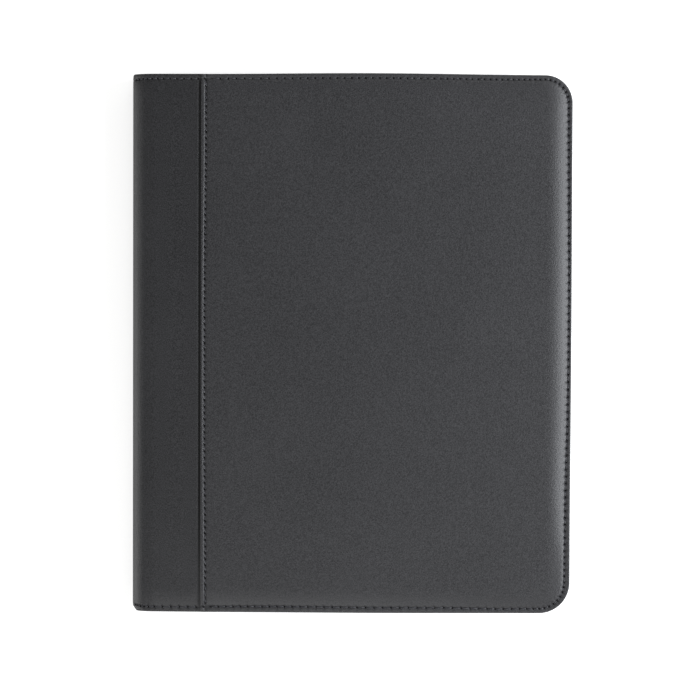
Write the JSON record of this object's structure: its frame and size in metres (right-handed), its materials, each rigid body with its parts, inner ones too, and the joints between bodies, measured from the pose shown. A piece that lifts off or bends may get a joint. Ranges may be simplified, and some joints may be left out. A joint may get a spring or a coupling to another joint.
{
  "type": "zippered document pouch",
  "caption": "Flat book-style document pouch with padded leather-look covers, a folding spine and a zip round three sides; opens flat to a writing pad and pockets.",
  "frame": {"origin": "under the middle of the closed pouch, on the surface that it lies on", "axes": "+X from the spine to the fore edge, +Y from the foot to the head, +Z from the back cover to the front cover"},
  "size_m": [0.268, 0.33, 0.026],
  "materials": {
    "back_panel": "pebbled synthetic leather, satin",
    "back_spine_flap": "pebbled synthetic leather, satin",
    "back_foam": "soft foam sheet",
    "back_board": "grey board, uncoated",
    "back_lining": "woven lining, matt",
    "back_zip_tape": "woven polyester tape, matt",
    "back_zip_teeth": "moulded nylon",
    "back_top_stop": "black nickel, satin",
    "bottom_stop": "black nickel, satin",
    "notepad_backing": "grey board, uncoated",
    "pad_sleeve": "pebbled synthetic leather, satin",
    "notepad_paper": "plain paper, matt",
    "notepad_binding": "woven polyester tape, matt",
    "pen_loop": "woven polyester tape, matt",
    "spine_panel": "pebbled synthetic leather, satin",
    "spine_board": "grey board, uncoated",
    "spine_lining": "woven lining, matt",
    "front_panel": "pebbled synthetic leather, satin",
    "front_spine_flap": "pebbled synthetic leather, satin",
    "front_foam": "soft foam sheet",
    "front_board": "grey board, uncoated",
    "front_lining": "woven lining, matt",
    "front_zip_tape": "woven polyester tape, matt",
    "front_zip_teeth": "moulded nylon",
    "front_top_stop": "black nickel, satin",
    "pocket_side_left": "woven lining, matt",
    "pocket_side_right": "woven lining, matt",
    "pocket_bottom": "woven lining, matt",
    "pocket_panel": "pebbled synthetic leather, satin",
    "card_pocket_1": "pebbled synthetic leather, satin",
    "card_pocket_2": "pebbled synthetic leather, satin",
    "card_pocket_3": "pebbled synthetic leather, satin",
    "slider_body": "black nickel, satin",
    "zip_puller": "black nickel, satin"
  },
  "bodies": {
    "back_cover": {"back_panel": "back_panel", "back_spine_flap": "back_spine_flap", "back_foam": "back_foam", "back_board": "back_board", "back_lining": "back_lining", "back_zip_tape": "back_zip_tape", "back_zip_teeth": "back_zip_teeth", "back_top_stop": "back_top_stop", "bottom_stop": "bottom_stop", "notepad_backing": "notepad_backing", "pad_sleeve": "pad_sleeve", "notepad_paper": "notepad_paper", "notepad_binding": "notepad_binding", "pen_loop": "pen_loop"},
    "spine": {"spine_panel": "spine_panel", "spine_board": "spine_board", "spine_lining": "spine_lining"},
    "front_cover": {"front_panel": "front_panel", "front_spine_flap": "front_spine_flap", "front_foam": "front_foam", "front_board": "front_board", "front_lining": "front_lining", "front_zip_tape": "front_zip_tape", "front_zip_teeth": "front_zip_teeth", "front_top_stop": "front_top_stop", "pocket_side_left": "pocket_side_left", "pocket_side_right": "pocket_side_right", "pocket_bottom": "pocket_bottom", "pocket_panel": "pocket_panel", "card_pocket_1": "card_pocket_1", "card_pocket_2": "card_pocket_2", "card_pocket_3": "card_pocket_3"},
    "zip_slider": {"slider_body": "slider_body"},
    "puller": {"zip_puller": "zip_puller"}
  },
  "joints": [
    {"name": "spine_fold", "type": "hinge", "parent": "back_cover", "child": "spine", "pos_m": [-0.13228, 0, 0.00172], "axis": [0, -1, 0], "range_deg": [0, 90]},
    {"name": "cover_fold", "type": "hinge", "parent": "spine", "child": "front_cover", "pos_m": [-0.13228, 0, 0.02428], "axis": [0, -1, 0], "range_deg": [0, 90]},
    {"name": "zip_slide", "type": "slide", "parent": "back_cover", "child": "zip_slider", "axis": [1, 0, 0], "range_m": [0, 0.205], "deforming": ["front_zip_teeth", "back_zip_teeth"]},
    {"name": "puller_swing", "type": "hinge", "parent": "zip_slider", "child": "puller", "pos_m": [-0.1, -0.16275, 0.013], "axis": [0, 0, -1], "range_deg": [0, 180]}
  ],
  "couplings": [
    {"joint": "cover_fold", "follows": "spine_fold", "ratio": 1}
  ]
}
